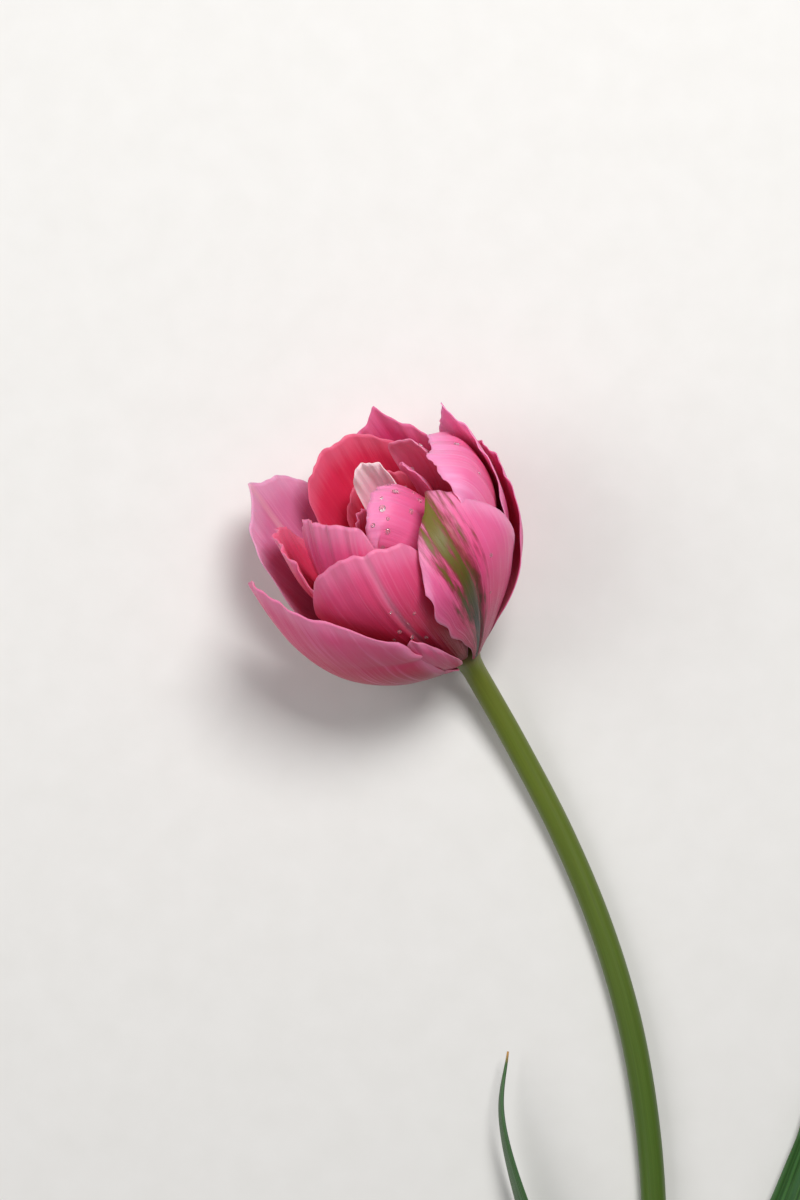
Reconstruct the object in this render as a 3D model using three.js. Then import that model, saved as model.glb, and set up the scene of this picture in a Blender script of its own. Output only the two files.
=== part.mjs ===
// A cut double tulip lying on its side, in millimetres, +Z up.
// The stem runs towards -Y, the flower head lies at +Y, and the floor is the plane z = 0.
import * as THREE from "three";

// ---- driving dimensions ------------------------------------------------------

// the receptacle's place over the floor, before the whole flower is centred on its origin
const RECEPTACLE = new THREE.Vector3(18.3, -15.3, 16);
const CENTRING = new THREE.Vector3(-46.628, 118.531, 0);
// the head points up-left over the floor and lifts its mouth by this angle
const HEAD_HEADING = new THREE.Vector3(-0.53, 0.848, 0).normalize();
const HEAD_LIFT = THREE.MathUtils.degToRad(30);

const PETAL_THICKNESS = 0.8;
const PETAL_ROWS = 9;
const PETAL_COLUMNS = 8;

// the receptacle is the domed end of the stem: [distance below its top, radius]
const RECEPTACLE_HEIGHT = 7.2;
const RECEPTACLE_PROFILE = [[0, 2], [1.6, 2.9], [3.6, 4], [5, 4.7], [7, 4.9], [8.4, 4.2], [10.5, 3.5]];
const STEM_RADIUS = 3.6;
const NECK_RADIUS = 3.4;
const STEM_SIDES = 12;
const STEM_STEPS = 42;
// the stem's route over the floor, from just under the head to its cut end
const STEM_ROUTE = [
  [23.6, -24.3, 10.6],
  [33.4, -41.6, 6.6],
  [46.7, -67.3, 4.2],
  [57.6, -93.4, 3.66],
  [65.5, -119.3, 3.66],
  [70.4, -145.2, 3.66],
  [72.9, -172.2, 3.66],
  [73, -205, 3.66],
  [70.5, -240, 3.66],
  [64, -292, 3.66],
];

const LEAF_THICKNESS = 1.2;
const LEAF_ROWS = 16;
const LEAF_COLUMNS = 6;
const LEAF_CLASP = 0.3;
const LEAVES = [
  {
    name: "leaf_left", halfWidth: 10.5, lean: [135, 105], bend: [5, 14],
    keel: [
      [63.5, -266, 7], [59, -240, 10], [50, -215, 10.8], [41, -193, 10.8], [33.6, -171, 10.4],
      [28.8, -146, 9], [30.9, -129.3, 7],
    ],
  },
  {
    name: "leaf_right", halfWidth: 15, lean: [-110, 0], bend: [5, 24],
    keel: [
      [75.6, -236, 5.3], [84, -221, 9.8], [100, -205, 11.4], [115, -186, 8], [124, -160, 3],
      [127, -130, 1.6], [127, -98, 2],
    ],
  },
];

const ROUND_SIDES = 10;
const CORE_FLOOR = 7.6;
const OVARY_RADIUS = 1.6;
const STIGMA_RADIUS = 2.4;
const PISTIL_HEIGHT = 18;
const STAMEN_COUNT = 6;
const STAMEN_RING = 2.6;
const STAMEN_LEAN = THREE.MathUtils.degToRad(1);
const FIRST_STAMEN = THREE.MathUtils.degToRad(50);
const FILAMENT_RADIUS = 0.4;
const FILAMENT_HEIGHT = 6;
const ANTHER_RADIUS = 0.7;
const ANTHER_HEIGHT = 8;

// ---- petals --------------------------------------------------------------------

// Every petal is one thin shell round a rib that leaves the receptacle. The rib is given as
// [out, up, side] from the head's axis. azimuth turns the petal round that axis: 0 faces away
// from the floor, 90 faces right. halfWidth is half the widest line, claw the share of it left
// at the foot, shoulder the share of the rib that the side edges reach, tip the length of the
// drawn-out point. pressLeft and pressRight move the two sides out (+) or in (-).
const PLAIN_PETAL = {
  claw: 0.13, spread: 0.9, shoulder: 0.6, flat: 2.2, round: 2, skew: 0, lopsided: 0,
  tip: 0.3, tipWidth: 0.07, minRadius: 9, square: 0, crease: 0, pressLeft: 0, pressRight: 0,
};

const PETALS = [
  // outer whorl
  {
    name: "petal_outer_flamed", color: 0xd65a8c, azimuth: 22, halfWidth: 21, lopsided: 0.14,
    spread: 1.2, shoulder: 0.5, flat: 1.7, round: 1.5, tip: 3, tipWidth: 0.09, crease: -1,
    pressLeft: 3.1, pressRight: 1.2,
    rib: [[6.3, 1], [16.8, 9.3], [27.5, 24], [32.5, 39, 1], [28, 50, 3.5], [17, 60, 8]],
  },
  {
    name: "petal_outer_left", color: 0x962d50, azimuth: -84, halfWidth: 22, lopsided: 0.32,
    spread: 1.1, shoulder: 0.56, flat: 1.9, round: 1.4, tip: 2.5, tipWidth: 0.09,
    pressLeft: 1, pressRight: -4.5,
    rib: [[6.3, 1], [18.3, 7.3], [31.5, 19], [38.5, 38], [40.5, 60, 1]],
  },
  {
    name: "petal_outer_right", color: 0xb53b67, azimuth: 114, halfWidth: 21, claw: 0.14,
    flat: 2, round: 1.8, tip: 2, pressRight: 1,
    rib: [[6.3, 1], [20.5, 6], [30.8, 19], [34.5, 36], [35.5, 51]],
  },
  {
    name: "petal_outer_back", color: 0xb64d75, azimuth: 152, halfWidth: 19.5, claw: 0.11, shoulder: 0.5,
    flat: 1.8, round: 1.5, skew: -0.03, tip: 4, tipWidth: 0.09,
    rib: [[5.8, 2.3], [18.3, 7.9], [29.6, 24], [33.6, 46], [31.6, 67.7]],
  },
  {
    name: "petal_outer_back_left", color: 0xbe7c9e, azimuth: -137, halfWidth: 23, claw: 0.1,
    spread: 0.8, shoulder: 0.5, flat: 2, round: 1.6, lopsided: 0.14, tip: 4, tipWidth: 0.09,
    rib: [[5.7, 2.5], [15.3, 9.7], [26.8, 24], [35, 46], [38, 68]],
  },
  {
    name: "petal_outer_back_right", color: 0xd36294, azimuth: 110, halfWidth: 19,
    shoulder: 0.5, flat: 1.6, round: 1.3, tip: 3, tipWidth: 0.09, pressRight: -2,
    rib: [[5.5, 3.1], [14.2, 10.8], [25, 23], [31.5, 42], [33.5, 66.6]],
  },
  {
    name: "petal_front_notched", color: 0xc24b6e, azimuth: -21, halfWidth: 22, lopsided: -0.2,
    spread: 1.05, shoulder: 0.6, flat: 2.3, skew: -0.1, tip: 1, crease: -0.9, pressRight: -5.5, pressLeft: 1,
    rib: [[5.8, 2.3], [14.4, 11], [24, 26], [28.8, 43], [25.5, 61]],
  },

  // second whorl
  {
    name: "petal_inner_right", color: 0xeb6eaa, azimuth: 72, halfWidth: 19.5, lopsided: 0.08, shoulder: 0.82,
    flat: 3, skew: 0.1, tip: 2.5, crease: -0.8, pressLeft: -4.4, pressRight: 2, square: 0.2,
    rib: [[5, 4], [11.3, 13.2], [20.3, 26], [26, 41], [24.2, 54], [18, 63]],
  },
  {
    name: "petal_inner_back_left", color: 0xbd2242, azimuth: -172, halfWidth: 21,
    shoulder: 0.8, flat: 3, lopsided: -0.08, tip: 0.5,
    rib: [[5.2, 3.7], [10.8, 13.8], [19.4, 27], [26, 44], [25, 65]],
  },
  {
    name: "petal_inner_front_left", color: 0xb85578, azimuth: -62, halfWidth: 19,
    shoulder: 0.76, flat: 2.4, tip: 0.5, pressLeft: -1.2,
    rib: [[4.6, 4.8], [9.4, 14.2], [18.8, 27], [23.4, 42], [22, 55], [17, 64]],
  },
  {
    name: "petal_inner_left", color: 0xc4496f, azimuth: -102, halfWidth: 16.5, shoulder: 0.66,
    tip: 1, pressLeft: 0.8, pressRight: -1.6,
    rib: [[5.4, 3.4], [11.9, 12.6], [22, 27], [28.2, 44], [27.6, 62]],
  },
  {
    name: "petal_inner_back_right", color: 0xd4597b, azimuth: 139, halfWidth: 15,
    shoulder: 0.85, flat: 3, tip: 0.5, pressLeft: -2,
    rib: [[4.6, 4.8], [9, 16], [17.6, 28], [22.4, 44], [22.8, 59.5]],
  },

  // core of the flower
  {
    name: "petal_core_right", color: 0xf08eba, azimuth: 64, halfWidth: 13.5, claw: 0.16,
    spread: 1.1, shoulder: 0.84, flat: 3, minRadius: 12, square: 1,
    rib: [[4.1, 5.9], [7.2, 17], [13, 30, -1], [14.5, 47, -1], [9, 60, -3], [0, 64.5, -5]],
  },
  {
    name: "petal_core_back", color: 0xd0355e, azimuth: 168, halfWidth: 13, shoulder: 0.75, pressLeft: 0.8,
    rib: [[4.1, 5.9], [7, 17.5], [14.6, 30], [19.4, 43], [19.5, 55]],
  },
  {
    name: "petal_core_left", color: 0xc85070, azimuth: -98, halfWidth: 8, claw: 0.2, spread: 1.2,
    shoulder: 0.7, minRadius: 8, square: 0.5,
    rib: [[4.1, 5.9], [6.8, 18], [11.4, 28], [14, 42], [10, 53]],
  },
  {
    name: "petal_core_front", color: 0xd05d86, azimuth: -22, halfWidth: 10.5, shoulder: 0.7,
    rib: [[4.1, 5.9], [8.4, 16], [16.4, 27], [20, 40], [17.5, 52]],
  },
  {
    name: "petaloid_bright", color: 0xf46aa1, azimuth: 133, halfWidth: 8, claw: 0.1,
    spread: 1.3, shoulder: 0.8, flat: 3, minRadius: 8, square: 1,
    rib: [[3.4, 7.4], [5.6, 20], [16.4, 37], [18.6, 53], [14.5, 63.5]],
  },
  {
    name: "petaloid_pale", color: 0xfabed2, azimuth: -162, halfWidth: 7, claw: 0.1,
    spread: 1.3, shoulder: 0.8, flat: 3, minRadius: 6, square: 1,
    rib: [[3.4, 7.4], [5, 20.5], [8.2, 40], [9.4, 56], [7, 66]],
  },
];

const smoothRise = (share, power) => Math.sin((Math.PI / 2) * share) ** power;

// Share of the rib reached by the top edge, across the petal from side = -1 to side = 1.
function edgeReach(petal, side, ribLength) {
  const off = Math.abs(side);
  const crown = Math.max(0, 1 - off ** petal.flat) ** (1 / petal.round);
  const lean = 1 + petal.skew * side * (1 - off ** 2);
  const lobe = (petal.shoulder + (1 - petal.shoulder) * crown) * lean;
  const point = (petal.tip / ribLength) * Math.exp(-((off / petal.tipWidth) ** 1.3));
  return Math.min(1, Math.max(0, lobe - petal.tip / ribLength) + point);
}

// Distance that the blade stands off its plain section, along its own normal.
function bladeRelief(petal, up, side) {
  const fold = petal.crease * Math.exp(-((side / 0.09) ** 2));
  const right = petal.pressRight * Math.max(0, side) ** 1.5;
  const left = petal.pressLeft * Math.max(0, -side) ** 1.5;
  return fold * Math.sin(Math.PI * 0.9 * up ** 0.8) + (right + left) * Math.min(1, 1.6 * up) ** 1.5;
}

// A point of the petal: up runs 0..1 from foot to edge, side -1..1 across, skin is the
// distance outside the blade's middle surface.
function petalPoint(petal, rib, ribLength, up, side, skin) {
  const along = up * edgeReach(petal, side, ribLength);
  const foot = rib.getPointAt(along);
  const tangent = rib.getTangentAt(along);
  const slope = new THREE.Vector2(tangent.x, tangent.z).normalize();
  const width = petal.claw + (1 - petal.claw) * smoothRise(up, petal.spread);
  const arc = side * petal.halfWidth * width * (1 + petal.lopsided * side);
  const leastRadius = petal.minRadius * Math.min(1, (along * ribLength) / 8 + 0.45);
  const radius = Math.max(foot.x, leastRadius);
  const angle = arc / radius;
  const inward = new THREE.Vector2(
    1 - petal.square + petal.square * slope.y,
    -petal.square * slope.x,
  ).normalize().multiplyScalar(radius * (Math.cos(angle) - 1));
  const off = bladeRelief(petal, up, side) + skin;
  return new THREE.Vector3(
    foot.x + inward.x + off * slope.y * Math.cos(angle),
    foot.y + radius * Math.sin(angle) + off * slope.y * Math.sin(angle),
    foot.z + inward.y - off * slope.x,
  );
}

// A closed shell from a grid of points on its two faces; face(i, j, skin) gives a point.
function shellGeometry(rows, columns, thickness, face) {
  const positions = [];
  const index = [];
  for (const skin of [thickness / 2, -thickness / 2]) {
    for (let i = 0; i <= rows; i += 1) {
      for (let j = 0; j <= columns; j += 1) {
        positions.push(...face(i / rows, (2 * j) / columns - 1, skin).toArray());
      }
    }
  }
  const inner = (rows + 1) * (columns + 1);
  const at = (i, j) => i * (columns + 1) + j;
  for (let i = 0; i < rows; i += 1) {
    for (let j = 0; j < columns; j += 1) {
      const [a, b, c, d] = [at(i, j), at(i, j + 1), at(i + 1, j + 1), at(i + 1, j)];
      index.push(a, b, c, a, c, d);
      index.push(inner + a, inner + c, inner + b, inner + a, inner + d, inner + c);
    }
  }
  const rim = [];
  for (let j = 0; j < columns; j += 1) rim.push(at(0, j));
  for (let i = 0; i < rows; i += 1) rim.push(at(i, columns));
  for (let j = columns; j > 0; j -= 1) rim.push(at(rows, j));
  for (let i = rows; i > 0; i -= 1) rim.push(at(i, 0));
  rim.forEach((a, k) => {
    const b = rim[(k + 1) % rim.length];
    index.push(b, a, inner + a, b, inner + a, inner + b);
  });
  const geometry = new THREE.BufferGeometry();
  geometry.setAttribute("position", new THREE.Float32BufferAttribute(positions, 3));
  geometry.setIndex(index);
  geometry.computeVertexNormals();
  return geometry;
}

function makePetal(choices) {
  const petal = { ...PLAIN_PETAL, ...choices };
  const rib = new THREE.CatmullRomCurve3(
    petal.rib.map(([out, up, side = 0]) => new THREE.Vector3(out, side, up)),
  );
  rib.arcLengthDivisions = 600;
  const ribLength = rib.getLength();
  const geometry = shellGeometry(PETAL_ROWS, PETAL_COLUMNS, PETAL_THICKNESS, (up, side, skin) =>
    petalPoint(petal, rib, ribLength, up, side, skin));
  const material = new THREE.MeshStandardMaterial({ color: petal.color, roughness: 0.55 });
  const mesh = new THREE.Mesh(geometry, material);
  mesh.name = petal.name;
  mesh.rotation.z = THREE.MathUtils.degToRad(petal.azimuth);
  return mesh;
}

// ---- pistil and stamens ----------------------------------------------------------

// A turned piece along the head's axis, from [radius, up] pairs that start and end on it.
function turnedPiece(name, color, outline) {
  const profile = outline.map(([radius, up]) => new THREE.Vector2(radius, up));
  const geometry = new THREE.LatheGeometry(profile, ROUND_SIDES).rotateX(Math.PI / 2);
  const material = new THREE.MeshStandardMaterial({ color, roughness: 0.6 });
  const mesh = new THREE.Mesh(geometry, material);
  mesh.name = name;
  return mesh;
}

function makePistil() {
  const top = CORE_FLOOR + PISTIL_HEIGHT;
  return turnedPiece("pistil", 0x9fae5a, [
    [0, CORE_FLOOR],
    [0.8 * OVARY_RADIUS, CORE_FLOOR],
    [OVARY_RADIUS, CORE_FLOOR + 3],
    [OVARY_RADIUS, top - 5],
    [0.7 * OVARY_RADIUS, top - 2.4],
    [STIGMA_RADIUS, top - 0.8],
    [STIGMA_RADIUS, top],
    [0, top + 0.5],
  ]);
}

function makeStamen(number) {
  const stamen = turnedPiece(`stamen_${number}`, 0x3a2233, [
    [0, 0],
    [FILAMENT_RADIUS, 0],
    [FILAMENT_RADIUS, FILAMENT_HEIGHT],
    [ANTHER_RADIUS, FILAMENT_HEIGHT + 1],
    [ANTHER_RADIUS, FILAMENT_HEIGHT + ANTHER_HEIGHT - 1.5],
    [0, FILAMENT_HEIGHT + ANTHER_HEIGHT],
  ]);
  stamen.rotation.y = STAMEN_LEAN;
  stamen.position.set(STAMEN_RING, 0, CORE_FLOOR);
  const turn = new THREE.Group();
  turn.rotation.z = FIRST_STAMEN + (2 * Math.PI * (number - 1)) / STAMEN_COUNT;
  turn.add(stamen);
  return turn;
}

// ---- stem -------------------------------------------------------------------------

// A closed round bar of changing thickness, along a curve that lies nearly level.
function barGeometry(curve, stations, sides) {
  const up = new THREE.Vector3(0, 0, 1);
  const positions = [];
  const index = [];
  for (const [along, radius] of stations) {
    const centre = curve.getPointAt(along);
    const tangent = curve.getTangentAt(along);
    const across = new THREE.Vector3().crossVectors(tangent, up).normalize();
    const above = new THREE.Vector3().crossVectors(across, tangent);
    for (let k = 0; k < sides; k += 1) {
      const angle = (2 * Math.PI * k) / sides;
      positions.push(...centre.clone()
        .addScaledVector(across, radius * Math.cos(angle))
        .addScaledVector(above, radius * Math.sin(angle)).toArray());
    }
  }
  const last = stations.length - 1;
  for (let i = 0; i < last; i += 1) {
    for (let k = 0; k < sides; k += 1) {
      const [a, b] = [i * sides + k, i * sides + ((k + 1) % sides)];
      index.push(a, a + sides, b, b, a + sides, b + sides);
    }
  }
  const ends = [[0, 0], [last, 1]].map(([station, along]) => {
    positions.push(...curve.getPointAt(along).toArray());
    return { ring: station * sides, middle: positions.length / 3 - 1 };
  });
  for (let k = 0; k < sides; k += 1) {
    const next = (k + 1) % sides;
    index.push(ends[0].middle, ends[0].ring + k, ends[0].ring + next);
    index.push(ends[1].middle, ends[1].ring + next, ends[1].ring + k);
  }
  const geometry = new THREE.BufferGeometry();
  geometry.setAttribute("position", new THREE.Float32BufferAttribute(positions, 3));
  geometry.setIndex(index);
  geometry.computeVertexNormals();
  return geometry;
}

// The stem starts with the domed receptacle inside the head and ends with a square cut.
function makeStem(headAxis) {
  const top = RECEPTACLE.clone().addScaledVector(headAxis, RECEPTACLE_HEIGHT);
  const curve = new THREE.CatmullRomCurve3([
    top,
    RECEPTACLE,
    ...STEM_ROUTE.map((point) => new THREE.Vector3(...point)),
  ]);
  curve.arcLengthDivisions = 2000;
  const length = curve.getLength();
  const stations = RECEPTACLE_PROFILE.map(([below, radius]) => [below / length, radius]);
  const start = stations[stations.length - 1][0];
  for (let i = 1; i <= STEM_STEPS; i += 1) {
    const share = i / STEM_STEPS;
    const radius = NECK_RADIUS + (STEM_RADIUS - NECK_RADIUS) * Math.min(1, 3 * share);
    stations.push([start + (1 - start) * share, radius]);
  }
  const material = new THREE.MeshStandardMaterial({ color: 0x5f7024, roughness: 0.5 });
  const mesh = new THREE.Mesh(barGeometry(curve, stations, STEM_SIDES), material);
  mesh.name = "stem";
  return mesh;
}

// ---- leaves ------------------------------------------------------------------------

// A leaf is a channelled blade along its keel. lean turns the blade's width round the keel,
// 0 lying flat and 90 standing on edge, and bend is the radius of the channel, each at the
// foot and at the tip. The hollow side faces the stem.
function makeLeaf(leaf) {
  const keel = new THREE.CatmullRomCurve3(leaf.keel.map((p) => new THREE.Vector3(...p)));
  keel.arcLengthDivisions = 600;
  const up = new THREE.Vector3(0, 0, 1);
  const between = ([foot, tip], share) => foot + (tip - foot) * Math.min(1, 1.6 * share);
  const point = (share, side, skin) => {
    const tangent = keel.getTangentAt(share);
    const level = new THREE.Vector3().crossVectors(up, tangent).normalize();
    const above = new THREE.Vector3().crossVectors(tangent, level);
    const lean = THREE.MathUtils.degToRad(between(leaf.lean, share));
    const bend = between(leaf.bend, share);
    const across = level.clone().multiplyScalar(Math.cos(lean))
      .addScaledVector(above, Math.sin(lean));
    const inside = level.clone().multiplyScalar(-Math.sin(lean))
      .addScaledVector(above, Math.cos(lean));
    const swell = LEAF_CLASP + (1 - LEAF_CLASP) * Math.sin(Math.PI * share ** 0.8);
    const width = leaf.halfWidth * swell * (1 - 0.96 * share ** 4);
    const angle = (side * width) / bend;
    return keel.getPointAt(share)
      .addScaledVector(across, (bend + skin) * Math.sin(angle))
      .addScaledVector(inside, bend - (bend + skin) * Math.cos(angle));
  };
  const geometry = shellGeometry(LEAF_ROWS, LEAF_COLUMNS, LEAF_THICKNESS, point);
  const material = new THREE.MeshStandardMaterial({ color: 0x2f4a22, roughness: 0.5 });
  const mesh = new THREE.Mesh(geometry, material);
  mesh.name = leaf.name;
  return mesh;
}

// ---- the flower ---------------------------------------------------------------------

const flower = new THREE.Group();
flower.position.copy(CENTRING);

const head = new THREE.Group();
const axis = HEAD_HEADING.clone().multiplyScalar(Math.cos(HEAD_LIFT)).setZ(Math.sin(HEAD_LIFT));
const right = new THREE.Vector3(HEAD_HEADING.y, -HEAD_HEADING.x, 0);
const front = right.clone().cross(axis);
head.position.copy(RECEPTACLE);
head.quaternion.setFromRotationMatrix(new THREE.Matrix4().makeBasis(front, right, axis));
for (const petal of PETALS) head.add(makePetal(petal));
head.add(makePistil());
for (let number = 1; number <= STAMEN_COUNT; number += 1) head.add(makeStamen(number));
flower.add(head);

flower.add(makeStem(axis));
for (const leaf of LEAVES) flower.add(makeLeaf(leaf));

export default flower;
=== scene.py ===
import math

import bpy
import numpy as np
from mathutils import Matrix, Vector


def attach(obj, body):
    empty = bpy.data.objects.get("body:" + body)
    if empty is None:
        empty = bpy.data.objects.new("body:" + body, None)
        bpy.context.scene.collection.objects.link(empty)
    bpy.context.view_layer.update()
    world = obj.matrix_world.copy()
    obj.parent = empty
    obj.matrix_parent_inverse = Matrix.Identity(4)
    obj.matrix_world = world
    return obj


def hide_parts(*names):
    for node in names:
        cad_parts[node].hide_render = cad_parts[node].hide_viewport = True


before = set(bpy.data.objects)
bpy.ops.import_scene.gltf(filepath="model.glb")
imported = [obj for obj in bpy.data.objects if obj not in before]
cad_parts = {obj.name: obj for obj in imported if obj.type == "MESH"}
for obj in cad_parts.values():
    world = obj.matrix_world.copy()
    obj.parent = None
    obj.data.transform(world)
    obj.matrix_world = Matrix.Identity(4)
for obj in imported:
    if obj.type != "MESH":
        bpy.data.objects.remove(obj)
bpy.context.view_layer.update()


# ---- the floor, the light and the camera ----------------------------------------------
# The flower lies on a plain pale matt floor under two soft boxes and a dim even sky. The
# camera looks straight down on it from 0.9 m above the middle of the flower head.

def colour(hex_code):
    """An sRGB hex code as linear red, green, blue and alpha."""
    values = [int(hex_code[i:i + 2], 16) / 255 for i in (1, 3, 5)]
    linear = [v / 12.92 if v <= 0.04045 else ((v + 0.055) / 1.055) ** 2.4 for v in values]
    return (*linear, 1.0)


def node(tree, kind, settings=None, **links):
    """Adds a node; links are input_name=value or input_name=another node's output."""
    added = tree.nodes.new(kind)
    for key, value in (settings or {}).items():
        setattr(added, key, value)
    for name, value in links.items():
        socket = added.inputs[int(name[1:])] if name[1:].isdigit() else added.inputs[
            name.replace("_", " ")]
        if isinstance(value, bpy.types.NodeSocket):
            tree.links.new(value, socket)
        else:
            socket.default_value = value
    return added


def new_material(name):
    """An empty node material, its tree and its Principled shader."""
    material = bpy.data.materials.new(name)
    material.use_nodes = True
    tree = material.node_tree
    return material, tree, tree.nodes["Principled BSDF"]


def mesh_piece(name, points, faces, materials, smooth=True):
    """A mesh object from points in metres, with its materials."""
    mesh = bpy.data.meshes.new(name)
    mesh.from_pydata([tuple(p) for p in points], [], [tuple(f) for f in faces])
    for material in materials:
        mesh.materials.append(material)
    mesh.polygons.foreach_set("use_smooth", [smooth] * len(mesh.polygons))
    mesh.update()
    piece = bpy.data.objects.new(name, mesh)
    bpy.context.scene.collection.objects.link(piece)
    return piece


MM = 0.001
HEAD_VIEW = Vector((-46.628, 118.531, 35)) * MM

paper, tree, shader = new_material("floor_matt_paper")
grain = node(tree, "ShaderNodeTexNoise", Scale=900.0, Detail=3.0)
shade = node(tree, "ShaderNodeMix", {"data_type": "RGBA"}, Factor=grain.outputs["Fac"],
             _6=colour("#e4e2de"), _7=colour("#ebe9e6"))
tree.links.new(shade.outputs[2], shader.inputs["Base Color"])
shader.inputs["Roughness"].default_value = 0.9
FLOOR_REACH = 5.0
corners = [(x * FLOOR_REACH, y * FLOOR_REACH, 0) for x, y in ((-1, -1), (1, -1), (1, 1), (-1, 1))]
floor = mesh_piece("floor", corners, [(0, 1, 2, 3)], [paper])


def soft_box(name, place, size, power):
    """A square area light that faces the flower head."""
    light = bpy.data.lights.new(name, "AREA")
    light.size = size
    light.energy = power
    lamp = bpy.data.objects.new(name, light)
    lamp.location = HEAD_VIEW + Vector(place)
    lamp.rotation_euler = (-Vector(place)).to_track_quat("-Z", "Y").to_euler()
    bpy.context.scene.collection.objects.link(lamp)


soft_box("soft_box_key", (0.25, 0.5, 0.9), 0.4, 9.6)
soft_box("soft_box_fill", (-0.75, 0.1, 0.7), 0.7, 4)

world = bpy.data.worlds.new("even_sky")
world.use_nodes = True
world.node_tree.nodes["Background"].inputs["Color"].default_value = colour("#f2f3f5")
world.node_tree.nodes["Background"].inputs["Strength"].default_value = 0.2
bpy.context.scene.world = world
bpy.context.scene.view_settings.view_transform = "Standard"

# The view takes in a third of a metre from top to bottom, at the height of the head's middle.
VIEW_HEIGHT = 900 * MM
SEEN_LENGTH = 1000 / 3 * MM
lens = bpy.data.cameras.new("view_from_above")
lens.sensor_fit = "VERTICAL"
lens.sensor_height = 24
lens.lens = lens.sensor_height * VIEW_HEIGHT / SEEN_LENGTH
camera = bpy.data.objects.new("view_from_above", lens)
camera.location = HEAD_VIEW + Vector((0, 0, VIEW_HEIGHT))
bpy.context.scene.collection.objects.link(camera)
bpy.context.scene.camera = camera


# ---- the stem --------------------------------------------------------------------------
# A smooth waxy flower stalk, 7 mm thick, that leaves the head in a long bow and ends in a
# clean square cut. Its head end swells into the receptacle that carries the petals.

RECEPTACLE = np.array([-28.328, 103.231, 16.0])
CENTRING = np.array([-46.628, 118.531, 0.0])
heading = np.array([-0.53, 0.848, 0.0]) / math.hypot(0.53, 0.848)
lift = math.radians(30)
HEAD_AXIS = heading * math.cos(lift) + np.array([0, 0, math.sin(lift)])
HEAD_RIGHT = np.array([heading[1], -heading[0], 0.0])
HEAD_FRONT = np.cross(HEAD_RIGHT, HEAD_AXIS)


def smooth_line(points, steps=1200):
    """A centripetal Catmull-Rom line through the points, and the length at each step."""
    points = np.array(points, float)
    padded = np.vstack([2 * points[0] - points[1], points, 2 * points[-1] - points[-2]])
    spans = len(points) - 1
    t = np.linspace(0, spans, steps + 1)
    first = np.minimum(t.astype(int), spans - 1)
    w = (t - first)[:, None]
    p0, p1, p2, p3 = (padded[first + k] for k in range(4))
    d0, d1, d2 = (np.maximum(np.linalg.norm(b - a, axis=1) ** 0.5, 1e-4)[:, None]
                  for a, b in ((p0, p1), (p1, p2), (p2, p3)))
    t1 = ((p1 - p0) / d0 - (p2 - p0) / (d0 + d1) + (p2 - p1) / d1) * d1
    t2 = ((p2 - p1) / d1 - (p3 - p1) / (d1 + d2) + (p3 - p2) / d2) * d1
    line = p1 + t1 * w + (3 * (p2 - p1) - 2 * t1 - t2) * w ** 2 + (2 * (p1 - p2) + t1 + t2) * w ** 3
    lengths = np.concatenate([[0], np.cumsum(np.linalg.norm(np.diff(line, axis=0), axis=1))])
    return line, lengths


def along(line, lengths, where):
    """Points and unit tangents at the lengths asked for."""
    tangents = np.gradient(line, lengths, axis=0)
    points = np.stack([np.interp(where, lengths, line[:, k]) for k in range(3)], -1)
    ways = np.stack([np.interp(where, lengths, tangents[:, k]) for k in range(3)], -1)
    return points, ways / np.linalg.norm(ways, axis=-1, keepdims=True)


def grid_faces(rows, columns, closed=False, start=0):
    """Quads over a grid of (rows + 1) x (columns + 1) points, or round a ring of columns."""
    wide = columns if closed else columns + 1
    faces = []
    for i in range(rows):
        for j in range(columns):
            k = (j + 1) % wide if closed else j + 1
            faces.append((start + i * wide + j, start + i * wide + k,
                          start + (i + 1) * wide + k, start + (i + 1) * wide + j))
    return faces


def lay_uv(piece, values):
    """Stores a pair of numbers for each point as the piece's UV map."""
    layer = piece.data.uv_layers.new(name="skin")
    corners = np.empty(len(piece.data.loops), int)
    piece.data.loops.foreach_get("vertex_index", corners)
    layer.data.foreach_set("uv", np.asarray(values, np.float32)[corners].ravel())


STEM_ROUTE = [
    (23.6, -24.3, 10.6), (33.4, -41.6, 6.6), (46.7, -67.3, 4.2), (57.6, -93.4, 3.66),
    (65.5, -119.3, 3.66), (70.4, -145.2, 3.66), (72.9, -172.2, 3.66), (73, -205, 3.66),
    (70.5, -240, 3.66), (64, -292, 3.66),
]
stem_line, stem_lengths = smooth_line(
    [RECEPTACLE + 7.2 * HEAD_AXIS, RECEPTACLE] + [CENTRING + np.array(p) for p in STEM_ROUTE], 2400)
stem_end = stem_lengths[-1]
receptacle_profile = np.array([(0, 0.2), (0.25, 1.4), (0.7, 2.2), (1.6, 2.95), (3.6, 4.1), (5, 4.8),
                               (6.6, 5.0), (8.4, 4.4), (10.5, 3.6), (14, 3.3)])
NECK_END = 14
NECK_RADIUS = 3.3
THICKENING = 0.28
THICKENING_LENGTH = 110
CUT_HOLLOW = 0.6
CUT_RADII = (3.42, 2.9, 0.3)
where = np.concatenate([receptacle_profile[:-1, 0],
                        np.linspace(NECK_END, stem_end - CUT_HOLLOW, 200),
                        [stem_end - 0.2, stem_end, stem_end, stem_end - CUT_HOLLOW]])
radius = np.interp(where, receptacle_profile[:, 0], receptacle_profile[:, 1])
thicker = np.minimum(1, (where - NECK_END) / THICKENING_LENGTH)
radius = np.where(where > NECK_END, NECK_RADIUS + THICKENING * thicker, radius)
radius[-3:] = CUT_RADII
centres, ways = along(stem_line, stem_lengths, where)
across = np.cross(ways, (0, 0, 1.0))
across /= np.linalg.norm(across, axis=1, keepdims=True)
above = np.cross(across, ways)
SIDES = 40
turn = np.linspace(0, 2 * math.pi, SIDES, endpoint=False)
ridge = 1 + 0.012 * np.cos(3 * turn + 0.8)
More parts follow.
